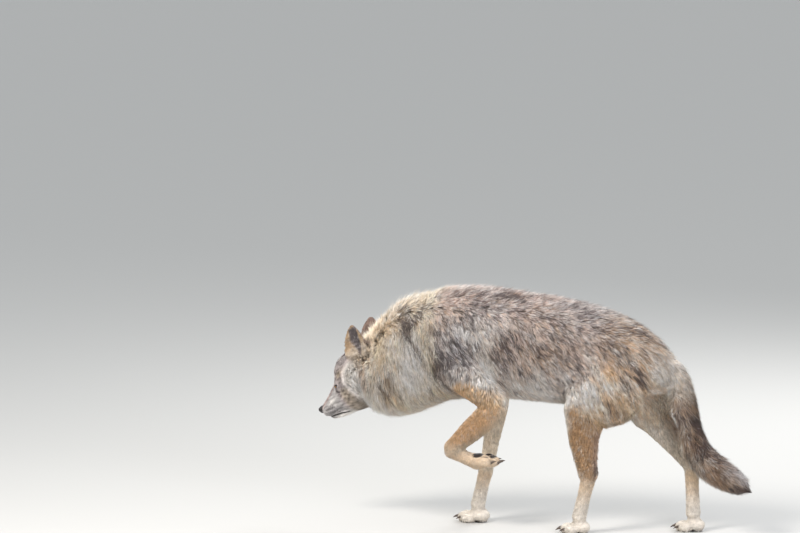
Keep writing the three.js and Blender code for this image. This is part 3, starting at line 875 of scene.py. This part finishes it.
    pale = 0.38 + 0.15 * top + 0.1 * fine - 0.25 * mottle + 0.4 * buff + 0.55 * spot(-134, 548, 40, 88)
    pale = np.clip(pale + 0.5 * cheek_light * of["head"][:, 0], 0, 1)
    return base, np.clip(dark * (1 - mark), 0, 0.95), pale * (1 - mark)


def nearest_on_skin(points):
    """The nearest places on the skin, the way out of it there and the coat's depth."""
    found = [skin_tree.find_nearest(p) for p in points.tolist()]
    corner = skin_triangles[[f[2] for f in found]]
    places = np.array([f[0][:] for f in found])
    a, b, c = (skin_points[corner[:, k]] for k in range(3))
    area = [np.linalg.norm(np.cross(u, v), axis=1) for u, v in
            ((b - places, c - places), (c - places, a - places), (a - places, b - places))]
    weight = np.stack(area, 1) / np.maximum(sum(area), 1e-12)[:, None]
    out = sum(weight[:, k:k + 1] * skin_normals[corner[:, k]] for k in range(3))
    deep = sum(weight[:, k] * skin_known[corner[:, k], 0] for k in range(3)) * MM
    return places, unit(out), deep


# ---- the skin's colours ----
# It is coloured as the coat over it, and darker where that is long, as painted shade deep in the coat. It is
# bare and dark on the lips, the rims of the eyes and the pads.
skin_base, skin_dark, _ = markings(skin_points, skin_normals, skin_known[:, 6:])
lip_line = np.exp(-(over_lip(skin_local) / 2.6) ** 2) * ease(skin_local[:, 0], 112, 98)
lip_line *= (skin_local[:, 0] > 2) & (skin_known[:, 6] > 0.5)
eye_rim = np.zeros(len(skin_points))
for side in (-1, 1):
    ahead, long, high = eye_place(skin_local, side)
    near = (np.hypot(long, high) < 20) & (ahead > 0) & (np.sign(skin_local[:, 1]) == side)
    gap_to_lid = np.where(np.abs(long) > EYE_LONG, np.hypot(np.abs(long) - EYE_LONG, high),
                          np.abs(high) - opening(long))
    eye_rim = np.maximum(eye_rim, near * ease(gap_to_lid, 3.4, 1.6))
sole = ((skin_points[:, 2] < 6 * MM) & (skin_normals[:, 2] < -0.6)).astype(float)
for foot in LEGS:
    sole = np.maximum(sole, ease(pad_cover(foot, skin_points, skin_normals), 0.3, 0.6))
skin_bare = np.clip(np.maximum(np.maximum(lip_line * 1.3, eye_rim * 1.2), sole), 0, 1)
shade_in_long_coat = ease(skin_known[:, 1], 14, 34)[:, None]
# the last factor is painted shade at the bottom of the long coat
skin_tint = mix(skin_base, DARK, (0.5 * skin_dark)[:, None]) * mix(0.92, 0.6, shade_in_long_coat)
skin_tint = mix(skin_tint, SKIN_BARE, skin_bare[:, None])
attribute(thinned, "tint", "FLOAT_COLOR", np.column_stack([skin_tint, np.ones(len(skin_tint))]))
attribute(thinned, "bare", "FLOAT", skin_bare)

hide, tree, shader = material("short_haired_skin")  # fine hair lying flat, seen as short streaks
HAIR = 1 / (0.9 * MM)  # a lock of short hairs is about 0.9 mm wide, drawn no finer than shows
place = add(tree, "TexCoord", {}, "Object")
lying = add(tree, "Mapping", {"Vector": place, "Scale": (HAIR, HAIR, HAIR * 0.16)}, "Vector")
streaks = add(tree, "TexNoise", {"Vector": lying, "Scale": 1.0, "Detail": 2.0}, "Fac")
wire(shader, {
    "Base Color": scaled(tree, kept(tree, "tint", "Color"), ranged(tree, streaks, 0.72, 1.22, 0.3, 0.7)),
    "Roughness": ranged(tree, kept(tree, "bare"), 0.72, 0.42),
    "Normal": add(tree, "Bump", {"Height": streaks, "Strength": 0.5, "Distance": 0.7 * MM}, "Normal"),
    "Specular IOR Level": 0.3})
thinned.materials.clear()
thinned.materials.append(hide)

# ---- eyes ----
IRIS, CORNEA_BULGE = 7.2, 0.9  # radius of the iris, and the bulge over it, in mm
PUPIL_BLACK, AMBER, AMBER_DEEP, AMBER_DULL, RIM = 0x050404, 0x94642A, 0x4A2E12, 0x7A5020, 0x1A100A

glassy, tree, shader = material("glass_eye")  # wet cornea over an amber iris, as a clear gloss
iris = add(tree, "ValToRGB", {"Fac": kept(tree, "around")}, "Color", stops=[
    (0.0, PUPIL_BLACK), (0.33, PUPIL_BLACK), (0.37, AMBER_DEEP), (0.5, AMBER), (0.84, AMBER_DULL),
    (0.93, RIM), (1.0, 0x0E0907)])
wire(shader, {"Base Color": scaled(tree, iris, ranged(tree, kept(tree, "streak"), 0.8, 1.15)),
              "Roughness": 0.08, "IOR": 1.376, "Coat Weight": 1.0, "Coat Roughness": 0.02})

rimmed, tree, shader = material("wet_eyelid_rim")  # bare black skin, moist along the eye
wire(shader, {"Base Color": linear(0x15100E), "Roughness": ranged(tree, noise(tree, 900.0), 0.22, 0.5)})

RIM_STEPS = 40
for side, eye in zip((-1, 1), EYES):
    looks, long_axis, up_axis = eye_axes(side)
    ball = bmesh.new()
    bmesh.ops.create_uvsphere(ball, u_segments=48, v_segments=40, radius=EYE_RADIUS)
    mesh = mesh_of(ball, eye + "_ball")
    spots = points_of(mesh)
    off = np.arccos(np.clip(spots[:, 2] / EYE_RADIUS, -1, 1)) * EYE_RADIUS
    turn = np.arctan2(spots[:, 1], spots[:, 0])
    attribute(mesh, "around", "FLOAT", np.minimum(off / IRIS, 1.3))
    attribute(mesh, "streak", "FLOAT", 0.5 + 0.5 * np.sin(17 * turn) * np.sin(9 * turn))
    spots *= 1 + CORNEA_BULGE / EYE_RADIUS * ease(off, 8.5, 3)[:, None]
    axes = np.stack([long_axis, np.cross(looks, long_axis), looks])
    move(mesh, from_head(spots @ axes + eye_centre(side)))
    finished(eye.replace("eye", "eyeball"), mesh, "eye", glassy, eye)

    # the bare rim of the lids: a fine cord of skin along the opening
    rim = bmesh.new()
    loops = []
    for k in range(RIM_STEPS):
        t = 2 * math.pi * k / RIM_STEPS
        along, high = EYE_LONG * math.cos(t) * 1.02, 0.0
        if abs(math.sin(t)) > 1e-6:
            high = opening(along * 0.985) * math.copysign(1, math.sin(t))
        deep = math.sqrt(max((EYE_RADIUS + 0.9) ** 2 - along**2 - high**2, 1))
        centre = looks * deep + long_axis * along + up_axis * high
        outward = unit(centre)
        tangent = unit(-math.sin(t) * long_axis + 0.5 * math.cos(t) * up_axis)
        across = unit(np.cross(outward, tangent))
        made = bmesh.ops.create_circle(rim, segments=8, radius=0.95)
        spin = Matrix((outward, across, np.cross(outward, across))).transposed().to_4x4()
        bmesh.ops.transform(rim, matrix=Matrix.Translation(centre) @ spin, verts=made["verts"])
        loops.append(list({e for v in made["verts"] for e in v.link_edges}))
    for k in range(RIM_STEPS):
        bmesh.ops.bridge_loops(rim, edges=loops[k] + loops[(k + 1) % RIM_STEPS])
    bmesh.ops.recalc_face_normals(rim, faces=rim.faces)
    mesh = mesh_of(rim, eye + "_rim")
    move(mesh, from_head(points_of(mesh) + eye_centre(side)))
    finished(eye.replace("eye", "eyelid_rim"), mesh, "nose_leather", rimmed)

# ---- nose ----
leather, tree, shader = material("nose_leather")  # bare, pebbled and damp, nearly black
PEBBLE = 1 / (1.1 * MM)
place = add(tree, "TexCoord", {}, "Object")
cells = add(tree, "TexVoronoi", {"Vector": place, "Scale": PEBBLE}, "Distance", feature="F1")
pebbles = {"Height": cells, "Strength": 0.7, "Distance": 0.4 * MM}
wire(shader, {
    # the grooves between the pebbles are coloured darker than their tops: painted shade in the creases
    "Base Color": add(tree, "ValToRGB", {"Fac": cells}, "Color", stops=[(0.0, 0x2B2523), (1.0, 0x110D0C)]),
    "Normal": add(tree, "Bump", pebbles, "Normal", invert=True), "Roughness": 0.38})

NOSTRILS = [  # place, size, height: their mouths, their slits, the groove between, and their wings
    ((4, 8.5, 8), (5, 3.6, 3.8), -4.6), ((10, 14.5, 5), (6, 3.4, 1.9), -2.8),
    ((3, 0, 0), (6, 1.3, 9), -1.2), ((5, 12, 16), (8, 7, 5), 0.9)]
nose_mesh = remeshed(mesh_of(welded("nose"), "nose_pad"), 0.9 * MM)
move(nose_mesh, fair(points_of(nose_mesh), edges_of(nose_mesh), 12))
spots, ways = in_head(points_of(nose_mesh)), normals_of(nose_mesh) @ HEAD_AXES.T
spots += ways * sum(high * hill(spots, at, size) for at, size, high in NOSTRILS)[:, None]
move(nose_mesh, from_head(spots))
finished("nose_pad", nose_mesh, "nose_leather", leather, "nose")


# ---- claws ----
def section(centre, heading, wide, high):
    """Where a disc of radius 1 goes: its middle, the way it faces and its half sizes."""
    facing = Vector(heading).to_track_quat("Z", "Y").to_matrix().to_4x4()
    return Matrix.Translation(Vector(centre)) @ facing @ Matrix.Diagonal((wide, high, high, 1))


def draw_out(form, sides, sections):
    """Draws a disc out along a row of sections, into a closed solid."""
    disc = bmesh.ops.create_circle(form, cap_ends=True, segments=sides, radius=1)
    face = disc["verts"][0].link_faces[0]
    before = Matrix.Identity(4)
    for k, now in enumerate(sections):
        if k:
            new = bmesh.ops.extrude_face_region(form, geom=[face])["geom"]
            old, face = face, next(g for g in new if isinstance(g, bmesh.types.BMFace))
            if k > 1:
                bmesh.ops.delete(form, geom=[old], context="FACES_ONLY")
        bmesh.ops.transform(form, matrix=now @ before.inverted(), verts=face.verts)
        before = now


horn, tree, shader = material("claw_horn")  # worn keratin, in fine paler lines
stain, grain = grained(tree, 700.0, 3.0, [(0.3, 0x2A211C), (0.7, 0x5A4A3D)])
bump = add(tree, "Bump", {"Height": grain, "Strength": 0.3, "Distance": 0.3 * MM}, "Normal")
wire(shader, {"Base Color": stain, "Normal": bump, "Roughness": 0.4})

CLAW_ROOT, CLAW_ARCH, CLAW_SIDES, CLAW_STEPS = 7 * MM, 2.4 * MM, 12, 7
for name in CLAWS:
    foot = name[len("claw_"):-2]
    cone = points_of(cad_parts[name].data)
    way = unit((toes(foot) - middle("paw_" + foot)) * [1, 1, 0])
    along = cone @ way
    tip, root = cone[along.argmax()], cone[along < along.min() + 1 * MM].mean(0)
    start = root - way * CLAW_ROOT
    sections = []
    for t in np.arange(CLAW_STEPS + 1) / CLAW_STEPS:
        centre = mix(start, tip, t) + [0, 0, CLAW_ARCH * math.sin(math.pi * t)]
        heading = tip - start + [0, 0, CLAW_ARCH * math.pi * math.cos(math.pi * t)]
        size = 4.3 * MM * (1 - t**1.6) + 0.5 * MM
        sections.append(section(centre, heading, 0.8 * size, size))
    nail = bmesh.new()
    draw_out(nail, CLAW_SIDES, sections)
    bmesh.ops.recalc_face_normals(nail, faces=nail.faces)
    finished(name.replace("claw_", "nail_"), mesh_of(nail, name), "claw", horn, name)

# ---- whiskers ----
bristle, tree, shader = material("whisker_hair")  # stiff dark keratin, smooth and a little glossy
stain, _ = grained(tree, 300.0, 2.0, [(0.35, 0x1C1816), (0.7, 0x4A4038)])
wire(shader, {"Base Color": stain, "Roughness": 0.35})

BEND = head_x - 0.4 * head_z  # the way they bend
stiff = bmesh.new()
for side in (-1, 1):
    for row in range(3):
        for k in range(4):
            near = from_head([[36 + 9 * k + 2 * row, side * 36, 4 - 9 * row - 2 * k]])
            start, out, _ = (v[0] for v in nearest_on_skin(near))
            long = (34 + 9 * k + 3 * rng.random()) * MM
            sweep = unit(0.75 * out + 0.62 * head_x + (0.12 - 0.16 * row) * head_z)
            sections = []
            for t in np.arange(6) / 5:
                centre = start - out * MM + sweep * long * t + BEND * (long * 0.22 * t * t)
                size = 0.42 * MM * (1 - t) + 0.06 * MM
                sections.append(section(centre, sweep + BEND * (0.44 * t), size, size))
            draw_out(stiff, 5, sections)
bmesh.ops.recalc_face_normals(stiff, faces=stiff.faces)
finished("whiskers", mesh_of(stiff, "whiskers"), "coat", bristle)

# ---- the coat ----
fur, tree, shader = material("wolf_hair")  # keratin: soft gloss along each hair, duller in a mass
grain = noise(tree, 60.0, 3.0)
tinted = scaled(tree, kept(tree, "tint", "Color"), ranged(tree, grain, 0.82, 1.16, 0.3, 0.7))
wire(shader, {"Base Color": tinted, "Roughness": ranged(tree, grain, 0.5, 0.72),
              "Specular IOR Level": 0.35, "IOR": 1.55})

PATCH = 0.003  # size of a tuft's own place on the unwrap
CLUMP, LOCK = 6, 40  # about how many tufts make a clump, and a lock
# A tuft is a closed spindle of three sides: its root, a ring of three corners and its tip.
RING_AT = 0.36
RING = [(math.cos(math.radians(angle)), math.sin(math.radians(angle))) for angle in (90, 210, 330)]
TUFT_FACES = np.array([(1, 2, 0), (2, 3, 0), (3, 1, 0), (2, 1, 4), (3, 2, 4), (1, 3, 4)])
TUFT_ON_PATCH = np.array([(0, -1), *((x, 0.2 * y) for x, y in RING), (0, 1)])


def unwrapped(name, triangles):
    """The places on an unwrap of this part of the skin, for each corner of its triangles."""
    used, index = np.unique(triangles, return_inverse=True)
    mesh = bpy.data.meshes.new(name)
    mesh.from_pydata(skin_points[used].tolist(), [], index.reshape(-1, 3).tolist())
    body = put(name, mesh)
    bpy.context.view_layer.objects.active = body
    bpy.ops.object.select_all(action="DESELECT")
    body.select_set(True)
    bpy.ops.object.mode_set(mode="EDIT")
    bpy.ops.mesh.select_all(action="SELECT")
    bpy.ops.uv.smart_project(angle_limit=math.radians(75), island_margin=0.0)
    bpy.ops.object.mode_set(mode="OBJECT")
    uv = read(mesh.uv_layers.active.uv, "vector", 2)
    bpy.data.objects.remove(body)
    bpy.data.meshes.remove(mesh)
    return uv.reshape(-1, 3, 2).astype(float)


def by_length(triangles):
    """Tufts for each square centimetre: more where they are short, and where they stand up."""
    long = skin_known[triangles, 1].mean(1)
    upright = 1 - np.linalg.norm(skin_known[triangles, 3:6].mean(1), axis=1)
    tufts = np.interp(long, [5, 9, 12, 16, 25, 50, 80], [23, 17.5, 16.5, 15.5, 17, 18.5, 16.5])
    return tufts * (1 + 2.5 * upright.clip(0, 0.25))


def sown(triangles, density):
    """Random places on these triangles: for each, its triangle and the weights of its corners."""
    a, b, c = (skin_points[triangles[:, k]] for k in range(3))
    area = np.linalg.norm(np.cross(b - a, c - a), axis=1) / 2 * 1e4
    wanted = area * density * (1 - skin_bare[triangles].mean(1))
    count = np.floor(wanted + rng.random(len(wanted))).astype(int)
    face = np.repeat(np.arange(len(triangles)), count)
    u, v = rng.random((2, len(face)))
    over = u + v > 1
    u[over], v[over] = 1 - u[over], 1 - v[over]
    return face, np.stack([1 - u - v, u, v], 1)[:, :, None]


def clumped(root):
    """The middle of each tuft's clump, and random numbers that a clump's tufts share. Clumps of
    one lock share part of them too."""
    n = len(root)
    centres = root[rng.choice(n, max(n // CLUMP, 1), replace=False)]
    own = which_is_nearest(centres, root)
    each = rng.random((len(centres), 6))
    heads = root[rng.choice(n, max(n // LOCK, 1), replace=False)]
    larger = rng.random((len(heads), 6))[which_is_nearest(heads, centres)]
    each = mix(each, larger, np.array([0.5, 0, 0, 0.5, 0.5, 0.2]))
    return centres[own], each[own]


def tuft_tints(strayed, out, share, lock, lone, loose):
    """The colours of each tuft at its root, at its ring and at its tip."""
    base, dark, pale = markings(strayed, out, share)
    luck = lock[:, 3] * 0.8 + lone[:, 4] * 0.2
    darkness = ease(luck, 0.92 - dark * 0.92, 1.06 - dark * 0.92)
    luck = lock[:, 4] * 0.6 + lone[:, 0] * 0.4
    paleness = ease(luck, 0.9 - pale * 0.9, 1.1 - pale * 0.9) * (1 - darkness)
    shade = mix(0.72 + 0.5 * lone[:, 2], 0.38 + 0.95 * lock[:, 5] + 0.45 * lone[:, 2], loose)
    shade = 0.97 * np.minimum(1.35, shade)[:, None]
    warmth = 0.5 * loose * ease(base.max(1), 0.02, 0.1) * ease(lock[:, 1], 0.55, 1.0)
    warmth *= 1 - 0.7 * ease(out[:, 2], 0.5, 0.9)
    base = mix(base, TAN, warmth[:, None])
    # the root and the ring are darkened against the tip: painted shade deep in the coat, between the hairs
    ring = mix(base * mix(0.95, 0.72, loose)[:, None], DARK, (0.6 * darkness)[:, None]) * shade
    tip = mix(base * mix(1, 1.15, loose)[:, None], WHITE, (0.85 * paleness)[:, None])
    tip = mix(tip, DARK, (0.95 * darkness)[:, None]) * shade
    tints = np.stack([base * 0.6, ring, ring, ring, tip], 1)
    return np.concatenate([np.clip(tints, 0, 1), np.ones((len(tints), 5, 1))], 2)


def tuft_mesh(name, verts, uv):
    """One mesh of many tufts, from their corners and their places on the unwrap."""
    n = len(verts)
    corners = (np.arange(n)[:, None, None] * 5 + TUFT_FACES).reshape(-1, 3)
    count = len(corners)
    mesh = bpy.data.meshes.new(name)
    mesh.vertices.add(n * 5)
    write(mesh.vertices, "co", verts)
    mesh.loops.add(count * 3)
    write(mesh.loops, "vertex_index", corners, np.int32)
    mesh.polygons.add(count)
    write(mesh.polygons, "loop_start", np.arange(0, count * 3, 3), np.int32)
    write(mesh.polygons, "loop_total", np.full(count, 3), np.int32)
    mesh.update(calc_edges=True)
    places = (PATCH + uv * (1 - 2 * PATCH))[:, None] + TUFT_ON_PATCH * PATCH / 2
    layer = mesh.uv_layers.new(name="OFBake")
    write(layer.uv, "vector", places.reshape(-1, 2)[corners.ravel()])
    return mesh


def grow(name, triangles, fuller):
    """Grows tufts on these triangles of the skin, which lie along the coat, lean to the middle of
    their clump and reach out to the coat's depth."""
    face, weight = sown(triangles, fuller * by_length(triangles))
    corners = triangles[face]

    def at(values):
        return (values[corners] * weight).sum(1)

    root, out, what = at(skin_points), unit(at(skin_normals)), at(skin_known)
    uv = (unwrapped(name, triangles)[face] * weight).sum(1)
    deep, long, wide = (what[:, k] * MM for k in range(3))
    lies = np.linalg.norm(what[:, 3:6], axis=1)
    flow = what[:, 3:6] - out * (what[:, 3:6] * out).sum(1)[:, None]
    # where the coat's lie points straight out of the skin, the tufts stand
    lies *= np.clip(1.6 * np.linalg.norm(flow, axis=1) / np.maximum(lies, 1e-6), 0.12, 1)
    flow = unit(flow)

    centre, lock = clumped(root)
    lone = rng.random((len(root), 5))
    loose = ease(long, 10 * MM, 45 * MM)
    turn = ((lock[:, 0] - 0.5) * 0.75 + (lone[:, 0] - 0.5) * 0.35) * mix(0.25, 1, loose)
    flow = flow * np.cos(turn)[:, None] + np.cross(out, flow) * np.sin(turn)[:, None]
    guard = (lone[:, 3] < 0.14) * loose  # the longest, thinnest hairs, which stand out at the edges
    long = long * (0.75 + 0.4 * lock[:, 1]) * (0.8 + 0.3 * lone[:, 1]) * (1 + 0.3 * guard)
    wide = wide * (1 - 0.4 * guard)
    loft = 0.7 + 0.27 * lock[:, 2] + 0.16 * lone[:, 2] + (0.14 + 0.14 * ease(out[:, 2], 0.3, 0.8)) * guard
    high = np.minimum(deep * loft, long * 0.95)
    reach = np.sqrt(long**2 - high**2) * np.clip(lies * 1.15, 0.12, 1)
    lean = (centre - root) * mix(0.5, 1, loose)[:, None]

    def tips(some):
        ends = (root + flow * reach[:, None] + lean * 0.62)[some]
        places, ways, there = nearest_on_skin(ends)
        return places + ways * (there * loft[some])[:, None], ways, np.linalg.norm(places - ends, axis=1)

    # a tuft whose tip would land on another limb stays short
    tip, ways, off = tips(slice(None))
    strays = (np.linalg.norm(tip - root, axis=1) > 1.2 * long) | ((ways * out).sum(1) < -0.25)
    strays |= off > 0.42 * long + 4 * MM
    reach[strays] *= 0.3
    lean[strays] = 0
    if strays.any():
        tip[strays] = tips(strays)[0]

    ring = root + flow * (reach * RING_AT)[:, None] + lean * (0.5 * RING_AT**1.4)
    places, ways, here = nearest_on_skin(ring)
    ring = places + ways * (here * loft * (1 - (1 - RING_AT) ** 1.7))[:, None]
    start = root - out * np.minimum(1.5 * MM, deep * 0.3)[:, None]
    along = unit(tip - start)
    sideways = unit(np.cross(along, ways))
    outward = np.cross(sideways, along)
    half = wide * (0.75 + 0.5 * lone[:, 4]) / 2
    sides = [ring + sideways * (half * x)[:, None] + outward * (half * 0.6 * y)[:, None] for x, y in RING]
    mesh = tuft_mesh(name, np.stack([start, *sides, tip], 1), uv)

    strayed = root + (lock[:, 3:6] - 0.5 + 0.6 * (lone[:, :3] - 0.5)) * (mix(3, 18, loose) * MM)[:, None]
    attribute(mesh, "tint", "FLOAT_COLOR", tuft_tints(strayed, out, what[:, 6:], lock, lone, loose))
    finished(name, mesh, "coat", fur)


triangle_group = np.median(np.argmax(skin_known[:, 6:], 1)[skin_triangles], axis=1).astype(int)
is_group = {name: triangle_group == k for k, name in enumerate(GROUPS)}
face_middle = skin_points[skin_triangles].mean(1)
hind = face_middle[:, 0] > 0
loin = face_middle[:, 0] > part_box("loin")[0].x + 0.02
halved = {
    "neck": is_group["neck"],
    "chest": is_group["trunk"] & ~loin,
    "loin": is_group["trunk"] & loin,
    "foreleg": is_group["arm"] | is_group["fore"] | (is_group["foot"] & ~hind),
    "hindleg": is_group["thigh"] | is_group["shank"] | (is_group["foot"] & hind),
}
left = face_middle[:, 1] < 0
grow("coat_head", skin_triangles[is_group["head"] | is_group["ear"]], 1.0)
for part, chosen in halved.items():
    for side, on_side in (("left", left), ("right", ~left)):
        grow(f"coat_{part}_{side}", skin_triangles[chosen & on_side], 1.0)
FULLER_TAIL = 1.75  # its hair spreads out from a thin core
grow("coat_tail", skin_triangles[is_group["tail"]], FULLER_TAIL)
